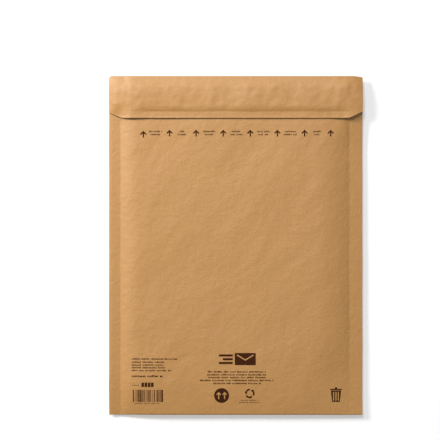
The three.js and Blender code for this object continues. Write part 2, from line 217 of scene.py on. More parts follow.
flap = {
    "depth": 42.35,
    "foldRise": 0.5,
    "foldRound": 0.8,
    "run": 17,
    "runFullness": 2,
    "clearance": 0.6,
    "clearFrom": -3,
    "underEdge": 0.4,
    "underEdgeAlong": (4, 34),
    "underEdgeAcross": (20, 60),
    "leftSnug": (5, 23),
    "rightSnug": 16,
    "snugDrop": 0.4,
    "snugRound": 0.4,
    "leftBridge": 9,
    "leftFullness": 1.5,
    "leftLevel": (0.22, 8, 30),  # share of the height that the left side gains late, and where
    "rightBridge": 21,
    "rightFullness": 2,
    "rightDrop": 0.45,
    "dropAlong": (3, 24),
    "tuckAlong": (14, 40),
    "rightTuck": (0.75, 26, 12),  # share of the tuck that the right end goes without, and where
    "leftTuckAlong": (27, 43),
    "leftTuckAcross": (30, 20),
    "tuckRound": 0.25,
    "rightLift": 0.1,
    "liftAlong": (6, 34),
    "liftAcross": (24, 3),
    "levelAlong": (2, 12),
    "strip": 1.6,
    "stripEnd": 29.4,
    "stripRamp": 6.4,
    "stripStart": (4, 27),
    "stripWave": [(0.5, 30, 1, 0, 21)],
    "stripMean": 0.85,
    "stripUneven": [(0.3, 26, 1, 0, 22)],
    "stripLeftRamp": (14, 42),
    "stripRightRamp": (4, 24),
    "edgeLift": 0.1,
    "edgeLiftRun": 12,
    "curl": 0.22,
    "curlRun": 2.4,
    "leftRise": 5.4,
    "rightRise": 6.6,
    "cornerWidth": 13,
    "cornerRound": 2.2,
    "dentHeight": 0.32,
    # the first two layers' seeds were picked for shading that is near the photograph's
    "dents": [(0.95, 11, 26, 12, 2516), (2, 27, 40, -20, 3683), (0.65, 6, 8, 20, 25)],
    "smoothEdge": (0.8, 28, 35),  # share of the dents that goes towards the free edge, and where
}
fold = {
    "reach": 1.3,  # how far the round part of a fold reaches inwards
    "leftDip": (1.3, 3),
    "rightDip": (0.6, 3),
    "rightSlope": (0.8, 11, 0),
    "softened": 26,
}


def cornerLift(x):
    # how far the free edge climbs at its cut corners: rise over width, times the way past a corner's start
    side = halfWidth - np.abs(x)
    slope = np.where(x < 0, flap["leftRise"], flap["rightRise"]) / flap["cornerWidth"]
    return slope * larger(0, flap["cornerWidth"] - side, flap["cornerRound"])


def stripMask(x, down):
    # eased in from the left side; 1 over the strip and 1 - t^2 past its edge, but still 1 near both ends
    edge = flap["stripEnd"] + layered(x, 0 * x, flap["stripWave"])
    fall = np.clip((down - edge) / flap["stripRamp"], 0, 1) ** 2
    fall = fall * ease(*flap["stripRightRamp"], halfWidth - x) * ease(*flap["stripLeftRamp"], halfWidth + x)
    return ease(*flap["stripStart"], halfWidth + x) * (1 - fall)


def flapFace(x, down):
    # the larger of two heights, plus the strip's step, dents and the free edge's lift and curl. One hugs the
    # body with a gap. The other spans from the top fold and the two sides, swelling from each of them, and
    # goes over to the first towards the free edge
    y = halfLength - down
    gap = (body["kraft"] + flap["clearance"]) * ease(flap["clearFrom"], body["mouthInset"], down)
    lifted = ease(*flap["underEdgeAlong"], down) * ease(*flap["underEdgeAcross"], halfWidth - x)
    gap = gap + flap["underEdge"] * lifted
    pressed = linerHalf(x, y) + body["kraft"]
    left = ease(*flap["leftSnug"], halfWidth + x)
    right = swell((halfWidth - x - body["rightSeam"]) / flap["rightSnug"])
    snug = left * right * (body["thickness"] / 2 - pressed)
    snugHeight = middleHeight(x, y) + pressed + gap + snug - flap["snugDrop"]
    hugging = larger(outerFace(x, y, 1) + gap, snugHeight, flap["snugRound"])

    late, *where = flap["leftLevel"]
    left = (1 - late) * swell((halfWidth + x) / flap["leftBridge"], flap["leftFullness"])
    left = left + late * ease(*where, halfWidth + x)
    drop = 1 - (1 - flap["rightDrop"]) * ease(*flap["dropAlong"], down)
    right = 1 - drop * (1 - swell((halfWidth - x) / flap["rightBridge"], flap["rightFullness"]))
    rise = flap["foldRise"]
    along = rise * ease(0, flap["foldRound"] * fold["reach"], down)
    along = along + (1 - rise) * swell(down / flap["run"], flap["runFullness"])
    span = middleHeight(x, y) + pressed + gap + (body["thickness"] / 2 - pressed) * left * right * along

    without, *where = flap["rightTuck"]
    tucked = ease(*flap["tuckAlong"], down) * (1 - without * ease(*where, halfWidth - x))
    leftTucked = ease(*flap["leftTuckAlong"], down)
    tucked = tucked + (leftTucked - tucked) * ease(*flap["leftTuckAcross"], halfWidth + x)
    face = larger(hugging, span + (hugging - span) * tucked, flap["tuckRound"])
    lifted = ease(*flap["liftAcross"], halfWidth - x) * ease(*flap["liftAlong"], down)
    face = face + flap["rightLift"] * lifted

    level = ease(*flap["levelAlong"], down)
    uneven = flap["stripMean"] + layered(x, 0 * x, flap["stripUneven"])
    step = flap["strip"] * stripMask(x, down) * level * uneven
    smooth, *where = flap["smoothEdge"]
    dents = flap["dentHeight"] * layered(x, down, flap["dents"]) * level * (1 - smooth * ease(*where, down))
    edge = flap["edgeLift"] * ease(flap["depth"] - flap["edgeLiftRun"], flap["depth"], down)
    edge = edge + flap["curl"] * ease(flap["depth"] - flap["curlRun"], flap["depth"], down)
    return face + step + dents + edge


def topDip(x):
    # how far the ends of the top fold dip, softened by handling: (1 - t)^2 at each end, and at the right one
    # also a longer eased slope
    (leftDip, leftRun), (rightDip, rightRun) = fold["leftDip"], fold["rightDip"]
    slope, *where = fold["rightSlope"]
    left = leftDip * np.clip(1 - (halfWidth + x) / leftRun, 0, 1) ** 2
    right = rightDip * np.clip(1 - (halfWidth - x) / rightRun, 0, 1) ** 2
    return left + slope * ease(*where, halfWidth - x) + right


# Meshes

def slab(outer, inner):
    # a closed mesh between two faces, each of points on one grid (rows, columns, 3): both grids' squares, the
    # inner ones turned over, and a band of squares that joins their rims
    rows, columns = outer.shape[:2]
    count = rows * columns
    number = np.arange(count).reshape(rows, columns)
    corners = [number[:-1, :-1], number[:-1, 1:], number[1:, 1:], number[1:, :-1]]
    top = np.stack(corners, -1).reshape(-1, 4)
    rim = np.concatenate([number[0], number[1:, -1], number[-1, -2::-1], number[-2:0:-1, 0]])
    after = np.roll(rim, -1)
    walls = np.stack([rim, rim + count, after + count, after], -1)
    points = np.concatenate([outer.reshape(-1, 3), inner.reshape(-1, 3)])
    return points, np.concatenate([top, top[:, ::-1] + count, walls])


def ply(points, thickness):
    # a sheet about its middle surface: the points moved half the thickness along the surface's normal
    across = np.gradient(points, axis=1)
    along = np.gradient(points, axis=0)
    normal = np.cross(across, along)
    normal /= np.linalg.norm(normal, axis=-1, keepdims=True)
    return slab(points + normal * thickness / 2, points - normal * thickness / 2)


def spread(stops, steps):
    # values through the stops, with about the given step before each next stop
    parts = [np.linspace(start, end, max(2, round(abs(end - start) / step) + 1))[:-1]
             for start, end, step in zip(stops, stops[1:], steps)]
    return np.concatenate([*parts, stops[-1:]])


def addPiece(name, mesh, material, nodes, sharpAngle=50):
    # the mesh, times metres in a millimetre, as an object with its material, body, nodes and slot
    points, faces = mesh
    data = bpy.data.meshes.new(name)
    data.from_pydata((points * metres).tolist(), [], faces.tolist())
    data.shade_smooth()
    data.set_sharp_from_angle(angle=math.radians(sharpAngle))
    data.materials.append(material)
    piece = bpy.data.objects.new(name, data)
    bpy.context.scene.collection.objects.link(piece)
    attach(piece, "root")
    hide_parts(*nodes)
    return piece


# Shader maths

class Wire:
    # one socket of a shader tree; sums, differences and products of wires add their Math nodes
    def __init__(self, tree, socket=None):
        self.tree = tree
        self.socket = socket

    def node(self, kind, settings=None, inputs=None, output=0):
        # a node of this kind: first its settings, then a value or a link for each of its sockets
        made = self.tree.nodes.new(kind)
        for name, value in (settings or {}).items():
            setattr(made, name, value)
        for name, value in (inputs or {}).items():
            if isinstance(value, Wire):
                self.tree.links.new(value.socket, made.inputs[name])
            else:
                made.inputs[name].default_value = value
        return Wire(self.tree, made.outputs[output])

    def math(self, operation, first, second):
        # first and second joined by the operation
        return self.node("ShaderNodeMath", {"operation": operation}, {0: first, 1: second})

    def __add__(self, other):
        return self.math("ADD", self, other)

    __radd__ = __add__

    def __sub__(self, other):
        return self.math("SUBTRACT", self, other)

    def __rsub__(self, other):
        return self.math("SUBTRACT", other, self)

    def __mul__(self, other):
        return self.math("MULTIPLY", self, other)

    __rmul__ = __mul__


def paint(code):
    # a colour as written, such as b2813b, in linear values: ((c + 0.055) / 1.055)^2.4, or c / 12.92 if dark
    shares = [int(code[i:i + 2], 16) / 255 for i in (0, 2, 4)]
    return tuple(c / 12.92 if c < 0.04045 else ((c + 0.055) / 1.055) ** 2.4 for c in shares) + (1,)


def mixed(wire, factor, first, second):
    # a colour: first + factor * (second - first)
    return wire.node("ShaderNodeMix", {"data_type": "RGBA"}, {0: factor, 6: first, 7: second}, output=2)


def noise(wire, place, scale, detail=2.0, roughness=0.5):
    # soft noise of 0 to 1, with scale waves in a metre and finer ones over them
    return wire.node("ShaderNodeTexNoise", None, {
        "Vector": place, "Scale": scale, "Detail": detail, "Roughness": roughness,
    })


def newMaterial(name, fixed):
    # a material, with the values that are the same all over it on the shader's own sockets
    material = bpy.data.materials.new(name)
    material.use_nodes = True
    tree = material.node_tree
    shader = tree.nodes["Principled BSDF"]
    for socket, value in fixed.items():
        shader.inputs[socket].default_value = value
    return material, Wire(tree), shader


def connect(wire, shader, **inputs):
    # a link from each wire to the socket of its name, where an underscore stands for a space
    for name, value in inputs.items():
        wire.tree.links.new(value.socket, shader.inputs[name.replace("_", " ")])


paper = {
    "light": "b2813b",
    "dark": "a4702d",
    "fleck": "8a5f38",
    "fleckShare": 0.5,
    "fleckRange": (0.13, 0.1),
    "cloudScale": 38,
    "flocScale": 420,
    "grainScale": 1700,
    "cockleScale": 170,
    "fibreScale": 2300,
    "fibreStretch": (1, 0.22, 1),
    "fibreTurn": 0.5,
    "tint": (0.45, 0.75, 0.4, -0.3),  # shares of cloud, floc and fibre in the colour, and what is added
    "relief": (0.55, 0.45, 0.15, 0.1),  # shares of cockle, floc, fibre and grain in the height
    "bumpStrength": 0.55,
    "bumpDepth": 0.0012,
    "roughnessRange": 0.16,
}
plain = {"detail": 4, "softness": 0.6, "bumpDepth": 0.0003, "roughnessRange": 0.2}


def paperMaterial(name, light, dark, fleck, roughness=0.6, specular=1.0):
    # colour: dark to light by a weighted sum of clouds, flocs and fibres, with flecks where fibre times floc
    # is low. Height: a weighted sum of cockles, flocs, fibres and grain
    material, wire, shader = newMaterial(name, {"Specular IOR Level": specular})
    place = wire.node("ShaderNodeTexCoord", output="Object")
    cloud = noise(wire, place, paper["cloudScale"], 3, 0.6)
    floc = noise(wire, place, paper["flocScale"], 4, 0.65)
    grain = noise(wire, place, paper["grainScale"], 2)
    fibrePlace = wire.node("ShaderNodeMapping", None, {
        "Vector": place, "Scale": paper["fibreStretch"], "Rotation": (0, 0, paper["fibreTurn"]),
    })
    fibre = noise(wire, fibrePlace, paper["fibreScale"], 2, 0.6)
    cockle = noise(wire, place, paper["cockleScale"], 2, 0.55)

    ofCloud, ofFloc, ofFibre, added = paper["tint"]
    colour = mixed(wire, cloud * ofCloud + floc * ofFloc + fibre * ofFibre + added, paint(dark), paint(light))
    least, most = paper["fleckRange"]
    flecks = wire.node("ShaderNodeMapRange", None, {
        "Value": fibre * floc, "From Min": least, "From Max": most,
    })
    colour = mixed(wire, flecks * paper["fleckShare"], colour, paint(fleck))

    ofCockle, ofFloc, ofFibre, ofGrain = paper["relief"]
    height = cockle * ofCockle + floc * ofFloc + fibre * ofFibre + grain * ofGrain
    bump = wire.node("ShaderNodeBump", None, {
        "Height": height, "Strength": paper["bumpStrength"], "Distance": paper["bumpDepth"],
    })
    wide = paper["roughnessRange"]
    connect(wire, shader, Base_Color=colour, Normal=bump, Roughness=floc * wide + (roughness - wide / 2))
    return material


def plainMaterial(name, first, second, scale, roughness, specular=0.5, bump=0.2):
    # one noise does it all: it mixes two near colours, raises a fine grain and varies the roughness
    material, wire, shader = newMaterial(name, {"Specular IOR Level": specular})
    place = wire.node("ShaderNodeTexCoord", output="Object")
    cloud = noise(wire, place, scale, plain["detail"], plain["softness"])
    raised = wire.node("ShaderNodeBump", None, {
        "Height": cloud, "Strength": bump, "Distance": plain["bumpDepth"],
    })
    colour = mixed(wire, cloud, paint(first), paint(second))
    wide = plain["roughnessRange"]
    connect(wire, shader, Base_Color=colour, Normal=raised, Roughness=cloud * wide + (roughness - wide / 2))
    return material


kraftPaper = paperMaterial("kraft_paper", paper["light"], paper["dark"], paper["fleck"])
linerPaper = paperMaterial("liner_paper", "d0a476", "c0905f", "96693f", roughness=0.7)
paddingPaper = plainMaterial("padding_paper", "a08060", "b89a78", 900, 0.95, specular=0.2, bump=0.8)
glueFilm = plainMaterial("glue_film", "cfb57c", "e0cb98", 300, 0.35)
releasePaper = plainMaterial("release_paper", "e6dfcf", "f2ecdf", 600, 0.45)
printInk = plainMaterial("print_ink", "331706", "472512", 1300, 0.8, specular=0.08, bump=0.15)
print("materials ready")

# Outer sheet: one folded piece, from the flap's free edge over the back to the mouth of the front

sheetGrid = {
    "columns": ([-halfWidth, -116.5, -102, 102, 115, halfWidth], [2.2, 0.75, 2.1, 0.75, 2.2]),
    "flapRows": ([flap["depth"], 37, 29, 4, fold["reach"]], [0.9, 0.6, 1.3, 0.5]),
    "backRows": ([halfLength - fold["reach"], 150, -150, fold["reach"] - halfLength], [2.5, 6, 1.8]),
    "frontRows": ([fold["reach"] - halfLength, -150, 124, mouth], [0.95, 2.1, 4]),
    "foldSteps": 7,
}


def outerSheet():
    # the sheet's middle surface, row by row: flap, top fold, back, bottom fold, front. A fold runs between
    # the heights of the two faces that it joins: the way out goes as a cosine, the height as a sine. Then the
    # top fold's ends dip, and the side edges wave, by the 8th power of the way from the middle
    kraft, reach = body["kraft"], fold["reach"]
    x = spread(*sheetGrid["columns"])[None, :]
    turns = np.linspace(np.pi / 2, -np.pi / 2, sheetGrid["foldSteps"] + 2)[1:-1, None]

    down = spread(*sheetGrid["flapRows"])[:, None] * (1 - cornerLift(x) / flap["depth"])
    flapPart = [halfLength - down, flapFace(x, down) - kraft / 2]

    high = flapFace(x, reach + 0 * x) - kraft / 2
    low = outerFace(x, halfLength - reach + 0 * x, -1) + kraft / 2
    way = halfLength - reach + (reach - kraft / 2) * np.cos(turns)
    topPart = [way + 0 * x, (high + low) / 2 + (high - low) / 2 * np.sin(turns)]

    y = spread(*sheetGrid["backRows"])[:, None] + 0 * x
    backPart = [y, outerFace(x, y, -1) + kraft / 2]

    high = outerFace(x, reach - halfLength + 0 * x, 1) - kraft / 2
    low = outerFace(x, reach - halfLength + 0 * x, -1) + kraft / 2
    way = reach - halfLength - (reach - kraft / 2) * np.cos(turns)
    bottomPart = [way + 0 * x, (high + low) / 2 - (high - low) / 2 * np.sin(turns)]

    y = spread(*sheetGrid["frontRows"])[:, None] + 0 * x
    frontPart = [y, outerFace(x, y, 1) - kraft / 2]

    y, z = (np.vstack(parts) for parts in zip(flapPart, topPart, backPart, bottomPart, frontPart))
    y = y - topDip(x) * ease(halfLength - fold["softened"], halfLength, y)
    side = x + layered(y, 0 * y, body["sideWave"]) * (np.abs(x) / halfWidth) ** 8
    return ply(np.stack([side, y, z], -1), kraft)


addPiece("outer_sheet", outerSheet(), kraftPaper, ["outer_sheet"])
print("outer sheet ready")

# Padding and liner

inside = {
    "plyGap": 0.15,
    "sideInset": 2.4,
    "mouthInset": 3,
    "noseInset": 4,  # from the bottom fold to the padding
    "foldInset": 6,  # from the bottom fold to the pocket
    "outerNose": 1.6,
    "innerNose": 0.45,
    "innerStart": 0.6,
    "linerNose": 0.2,
    "linerStart": 0.3,
    "linerSlack": 0.02,
    "glueInset": 0.6,
    "glueStart": 2,
}
layerGrid = {
    "paddingColumns": (10, [1.4, 5, 1.4]),
    "paddingRows": (16, [1.6, 6, 2]),
    "linerColumns": ([-halfWidth, -112, -100, 100, 112, halfWidth], [3, 1.5, 6, 1.5, 3]),
    "linerRows": (20, [3, 8]),
    "noseSteps": 7,
}


def folded(y, front, back, reach):
    # rows of one face of a folded layer: back wall, round nose, front wall. The nose runs from one wall's
    # height to the other's as a sine, and bulges by its reach as a cosine
    turns = np.linspace(-np.pi / 2, np.pi / 2, layerGrid["noseSteps"])[1:-1, None]
    middle, half = (front[:1] + back[:1]) / 2, (front[:1] - back[:1]) / 2
    nose = [y[:1] - reach * np.cos(turns), middle + half * np.sin(turns)]
    return [np.vstack(parts) for parts in zip([y[::-1], back[::-1]], nose, [y, front])]


def paddingPiece():
    # a folded slab: its outside is a ply's gap in from the outer sheet's walls, its inside a gap out from the
    # liner's
    gap, kraft = inside["plyGap"], body["kraft"]
    low = body["leftSeam"] + inside["sideInset"] - halfWidth
    high = halfWidth - body["rightSeam"] - inside["sideInset"]
    run, steps = layerGrid["paddingColumns"]
    x = spread([low, low + run, high - run, high], steps)[None, :]
    start = inside["noseInset"] - halfLength
    run, steps = layerGrid["paddingRows"]
    y = spread([start, start + run, mouth - run, mouth - inside["mouthInset"]], steps)[:, None] + 0 * x
    front, back = outerFace(x, y, 1) - kraft - gap, outerFace(x, y, -1) + kraft + gap
    outside = folded(y, front, back, inside["outerNose"])
    y = np.maximum(y, inside["foldInset"] - halfLength + inside["innerStart"])
    middle, half = middleHeight(x, y), linerHalf(x, y) + gap
    within = folded(y, middle + half, middle - half, inside["innerNose"])
    return slab(*(np.stack([x + 0 * y, y, z], -1) for y, z in (outside, within)))


def linerPiece():
    # a folded sheet, half a ply in from each outer side of the liner's walls
    x = spread(*layerGrid["linerColumns"])[None, :]
    start = inside["foldInset"] - halfLength + inside["linerStart"]
    run, steps = layerGrid["linerRows"]
    y = spread([start, start + run, mouth], steps)[:, None] + 0 * x
    middle, half = middleHeight(x, y), linerHalf(x, y) - body["liner"] / 2
    y, z = folded(y, middle + half, middle - half, inside["linerNose"])
    return ply(np.stack([x + 0 * y, y, z], -1), body["liner"] - inside["linerSlack"])


pad = addPiece("padding", paddingPiece(), paddingPaper, ["padding"])
addPiece("inner_liner", linerPiece(), linerPaper, ["inner_liner"])


def seamGlue(side):
    # a film in one seam, side -1 or 1: the middle surface, plus and minus half the glue's thickness
    width, rim = body["leftSeam"] if side < 0 else body["rightSeam"], inside["glueInset"]
    x = side * (halfWidth - np.linspace(rim, width - rim, 6)[::-side])[None, :]
    start = inside["foldInset"] + inside["glueStart"] - halfLength
    y = spread([start, mouth - rim], [5])[:, None] + 0 * x
    return slab(*(np.stack([x + 0 * y, y, middleHeight(x, y) + k * body["glue"] / 2], -1) for k in (1, -1)))


addPiece("seam_glue_left", seamGlue(-1), glueFilm, ["seam_glue_left"])
addPiece("seam_glue_right", seamGlue(1), glueFilm, ["seam_glue_right"])
print("padding, liner and glue ready")

# Closing strip under the flap

strip = {"inset": 21, "top": 11.6, "end": 31.8, "endRun": 12, "adhesive": 0.18, "paper": 0.14, "gap": 0.08,
         "rim": 2}


def stripLayer(rim, depth, thickness):
    # a band that hugs the flap's underside: its top is the flap's face less the kraft and the depth, and its
    # underside is lower by the thickness; rim is how much smaller it is all round
    low, high = strip["inset"] + rim - halfWidth, halfWidth - strip["inset"] - rim
    x = spread([low, low + strip["endRun"], high - strip["endRun"], high], [2, 5, 2])[None, :]
    down = spread([strip["end"] - rim, strip["top"] + rim], [1.5])[:, None] + 0 * x
    top = flapFace(x, down) - body["kraft"] - depth
    return slab(*(np.stack([x + 0 * down, halfLength - down, top - k * thickness], -1) for k in (0, 1)))


adhesive = stripLayer(strip["rim"], strip["gap"], strip["adhesive"])
release = stripLayer(0, 2 * strip["gap"] + strip["adhesive"], strip["paper"])
addPiece("flap_adhesive", adhesive, glueFilm, ["flap_adhesive"])
addPiece("release_strip", release, releasePaper, ["release_strip"])
print("closing strip ready")

# Print: thin closed fields of ink that lie on the front's outer face

ink = {
    "above": 0.08,
    "below": 0.04,
    "cell": 1.6,
    "pitch": 0.78,
    "word": (4, 13),
    "tall": [0.72, 0.78, 1.0],
    "thick": (0.8, 1.2),
}


def flatTriangles(fields):
    # flat triangles that fill the fields, cut along a square grid so that they can bend
    points, faces, count = [], [], 0
    for outlines in fields:
        corners = np.vstack(outlines)
        rings = [np.column_stack([outline, 0 * outline[:, 0]]).tolist() for outline in outlines]
        faces.append(np.array(tessellate_polygon(rings)) + count)
        points.append(corners)
        count += len(corners)
    flat = np.vstack(points)
    data = bpy.data.meshes.new("flat_print")
    data.from_pydata(np.column_stack([flat, 0 * flat[:, 0]]).tolist(), [], np.vstack(faces).tolist())
    form = bmesh.new()
    form.from_mesh(data)
    for axis in (0, 1):
        for cut in np.arange(flat[:, axis].min() + ink["cell"], flat[:, axis].max(), ink["cell"]):
            place, normal = [0, 0, 0], [0, 0, 0]
            place[axis], normal[axis] = cut, 1
            bmesh.ops.bisect_plane(form, geom=form.verts[:] + form.edges[:] + form.faces[:],
                                   plane_co=place, plane_no=normal, dist=1e-5)
    bmesh.ops.triangulate(form, faces=form.faces[:])
    form.to_mesh(data)
    form.free()
    points = np.empty(3 * len(data.vertices))
    corners = np.empty(len(data.loops), int)
    data.vertices.foreach_get("co", points)
    data.loops.foreach_get("vertex_index", corners)
    bpy.data.meshes.remove(data)
    return points.reshape(-1, 3)[:, :2], corners.reshape(-1, 3)


def draped(fields):
    # fields: each a list of outlines, the first round the ink and the rest round bare parts, as arrays of
    # x, y. The ink is a thin closed layer, from a little below to a little above the front's outer face
    flat, top = flatTriangles(fields)
    first, second = flat[top[:, 1]] - flat[top[:, 0]], flat[top[:, 2]] - flat[top[:, 0]]
    turned = first[:, 0] * second[:, 1] < first[:, 1] * second[:, 0]
    top[turned] = top[turned][:, ::-1]
    count = len(flat)
    ends = np.concatenate([top[:, [0, 1]], top[:, [1, 2]], top[:, [2, 0]]])
    paired = np.isin(ends[:, 0] * count + ends[:, 1], ends[:, 1] * count + ends[:, 0])
    a, b = ends[~paired].T
    walls = np.concatenate([np.column_stack([a, a + count, b + count]), np.column_stack([a, b + count, b])])
    height = outerFace(flat[:, 0], flat[:, 1], 1)
    upper = np.column_stack([flat, height + ink["above"]])
    lower = np.column_stack([flat, height - ink["below"]])
    return np.concatenate([upper, lower]), np.concatenate([top, top[:, ::-1] + count, walls])


def bar(left, low, width, height):
    # an upright rectangle, from its lower left corner
    right, top = left + width, low + height
    return [np.array([[left, low], [right, low], [right, top], [left, top]])]


def smallPrint(left, width, middle, height, cover, seed):
    # a line of print too small to read: short upright strokes at an even pitch, with one left out after each
    # 4 to 12 of them
    rng = np.random.default_rng(seed)
    pitch = ink["pitch"] * height
    count = int(width / pitch)
    letters = np.concatenate([np.append(np.ones(n), 0) for n in rng.integers(*ink["word"], count)])[:count]
    letters[-1] = 1
    stems = [k for k in range(count) if letters[k]]
    tall = height * rng.choice(ink["tall"], count)
    thick = pitch * cover * rng.uniform(*ink["thick"], count)
    return [bar(left + k * pitch, middle - height / 2, thick[k], tall[k]) for k in stems]


def stroke(points, width):
    # an outline round a bent line: to each side by half the width, over the cosine of half a corner's turn
    line = np.array(points, float)
    step = np.diff(line, axis=0)
    step /= np.linalg.norm(step, axis=1)[:, None]
    before, after = np.vstack([step[:1], step]), np.vstack([step, step[-1:]])
    tangent = before + after
    tangent /= np.linalg.norm(tangent, axis=1)[:, None]
    stretch = width / 2 / np.sum(tangent * after, axis=1)
    side = np.column_stack([-tangent[:, 1], tangent[:, 0]]) * stretch[:, None]
    return [np.vstack([line - side, (line + side)[::-1]])]


def arrow(middleX, middleY, span, height, width):
    # a shaft under an open head of 45 degrees that points up, as one outline
    arm, top = width * math.sqrt(0.5), height / 2
    right = [[span / 2, top - span / 2], [span / 2 - arm, top - span / 2 - arm],
             [width / 2, top - 2 * arm - width / 2], [width / 2, -top]]
    left = [[-x, y] for x, y in right[::-1]]
    return [np.array([[0, top], *right, *left])[::-1] + [middleX, middleY]]


def disc(middleX, middleY, radius, points=48):
    # the middle, plus the radius times cosine and sine of even angles
    angle = np.linspace(0, 2 * np.pi, points, endpoint=False)
    return np.column_stack([middleX + radius * np.cos(angle), middleY + radius * np.sin(angle)])


# Where the print stands, in columns and rows of the photograph

photo = {
    "middle": 220,
    "pixel": 1.0067,  # millimetres in a pixel
    "left": 109.1,
    "bottom": 414.9,
    "nearer": 0.997,  # the front is a little nearer to the camera than the sheet's edges are
}
# sizes are in millimetres; small print ends with its height, the share of its pitch that a stroke covers,
# and its seed
printed = {
    "arrows": [143.2, 169.4, 195.9, 223.0, 250.1, 277.2, 304.4, 330.5],
    "arrowRow": 133.1,
    "firstLower": 1.1,
    "arrowShift": 0.2,
    "arrowSize": (6.6, 6.8, 1.3),
    "words": [(149, 162.8), (178, 187), (203.4, 216), (230.4, 243), (257, 270.8), (283.4, 298), (313, 322)],
    "wordRows": [131.4, 134.4],
    "wordInset": 1.5,
    "wordPrint": (1.6, 0.6, 40),
    "note": [(358.9, 178.0), (362.1, 165.2), (364.9, 164.3), (367.6, 166.2), (370.4, 172.4)],
    "noteLeft": 131.8,
    "notePrint": (1.55, 0.64, 60),
    "sizeLine": (131.8, 32, 376.1, 2.0, 0.76, 70),
    "codeLine": (131.5, 8.2, 385.2, 1.1, 0.5, 71),
    "codeBlocks": {"column": 141.4, "row": 387, "apart": 3.2, "width": 2.6, "height": 4.4, "count": 4},
    "legend": [(371.8, 58.3), (374.7, 60.1), (377.5, 58.2), (380.4, 74.6), (383.4, 48.4)],
    "centre": 237.2,
    "legendPrint": (1.55, 0.66, 80),
}


def fromLeft(column):
    # the column's way from the envelope's left edge in millimetres, less half the width
    middle = photo["middle"]
    return (middle + (column - middle) * photo["nearer"] - photo["left"]) * photo["pixel"] - halfWidth


def fromBottom(row):
    # the row's way up from the envelope's bottom edge in millimetres, less half the length
    middle = photo["middle"]
    return (photo["bottom"] - middle - (row - middle) * photo["nearer"]) * photo["pixel"] - halfLength


def addInk(name, fields, nodes):
    # the fields, draped over the front, as a piece of printing ink
    return addPiece(name, draped(fields), printInk, nodes, sharpAngle=30)


def printLine(column, width, row, height, cover, seed):
    # small print that starts at a column, about a row
    return smallPrint(fromLeft(column), width, fromBottom(row), height, cover, seed)


for number, column in enumerate(printed["arrows"], 1):
    row = printed["arrowRow"] + (printed["firstLower"] if number == 1 else 0)
    outline = arrow(fromLeft(column + printed["arrowShift"]), fromBottom(row), *printed["arrowSize"])
    addInk(f"opening_arrow_{number}", [outline], [f"opening_arrow_{number}"])

words = []
height, cover, seed = printed["wordPrint"]
for number, (start, end) in enumerate(printed["words"]):
    for line, row in enumerate(printed["wordRows"]):
        inset = (printed["wordInset"] if (number + line) % 2 else 0) * photo["pixel"]
        left, width = fromLeft(start) + inset, (end - start) * photo["pixel"] - 2 * inset
        words += smallPrint(left, width, fromBottom(row), height, cover, seed + 2 * number + line)
addInk("opening_words", words, [])
print("opening row ready")

height, cover, seed = printed["notePrint"]
for number, (row, end) in enumerate(printed["note"], 1):
    width = fromLeft(end) - fromLeft(printed["noteLeft"])
    fields = printLine(printed["noteLeft"], width, row, height, cover, seed + number)
    addInk(f"note_line_{number}", fields, [f"note_line_{number}"])
addInk("size_line", printLine(*printed["sizeLine"]), ["size_line"])
block = printed["codeBlocks"]
left, low = fromLeft(block["column"]), fromBottom(block["row"])
blocks = [bar(left + k * block["apart"], low, block["width"], block["height"]) for k in range(block["count"])]
addInk("code_line", printLine(*printed["codeLine"]) + blocks, [])

height, cover, seed = printed["legendPrint"]
for number, (row, width) in enumerate(printed["legend"], 1):
    left = fromLeft(printed["centre"]) - width / 2
    fields = smallPrint(left, width, fromBottom(row), height, cover, seed + number)
    addInk(f"legend_line_{number}", fields, [f"legend_line_{number}"])
print("small print ready")

barcode = {
    "left": 132.8,
    "bottom": 402.2,
    "top": 389.9,
    "width": 30.2,
    "widths": [1, 2, 2, 3, 4],
    "count": 41,
    "seed": 5,
    "digits": (134.5, 26, 403.6, 1.2, 0.5, 90),
}


def barcodeFields():
    # bars and spaces of 1 to 4 units, in turn: each edge is the sum of the units before it
    count = barcode["count"]
    units = np.random.default_rng(barcode["seed"]).choice(barcode["widths"], count)
    edges = np.concatenate([[0], np.cumsum(units)]) * barcode["width"] / units.sum()
    left, low = fromLeft(barcode["left"]), fromBottom(barcode["bottom"])
    height = (barcode["bottom"] - barcode["top"]) * photo["pixel"]
    return [bar(left + edges[k], low, edges[k + 1] - edges[k], height) for k in range(0, count, 2)]


addInk("barcode", barcodeFields() + printLine(*barcode["digits"]), ["barcode"])

letter = {
    "width": 21,
    "height": 12.2,
    "stroke": 1.2,
    "fold": 4.6,
    "foldEnds": (1.9, 0.6),  # in strokes, from the side and below the top
    "bottom": 365.2,
    "right": 255.7,
}
speed = {"lines": [(14, 1.15), (10, 4.95), (14, 8.75)], "height": 2.1, "gap": 2}  # lines: length and rise


def letterFields():
    # a filled rectangle with the V of its flap left bare
    width, rim = letter["width"], letter["stroke"]
    left, low = fromLeft(letter["right"]) - width, fromBottom(letter["bottom"])
    aside, below = letter["foldEnds"]
    top = low + letter["height"] - rim - rim * below
    ends = [[left + rim * aside, top], [left + width - rim * aside, top]]
    tip = [left + width / 2, low + letter["fold"] + rim / 2]
    bare = stroke([ends[0], tip, ends[1]], rim)[0]
    return [bar(left, low, width, letter["height"]) + [bare[::-1]]]


addInk("letter_sign", letterFields(), ["letter_sign"])
for number, (length, rise) in enumerate(speed["lines"], 1):
    right = fromLeft(letter["right"]) - letter["width"] - speed["gap"]
    field = bar(right - length, fromBottom(letter["bottom"]) + rise, length, speed["height"])
    addInk(f"speed_line_{number}", [field], [f"speed_line_{number}"])

badge = {"column": 221.6, "row": 395.6, "radius": 7.5, "arrowAside": 2.95, "arrowSize": (4.9, 7.4, 1.25)}


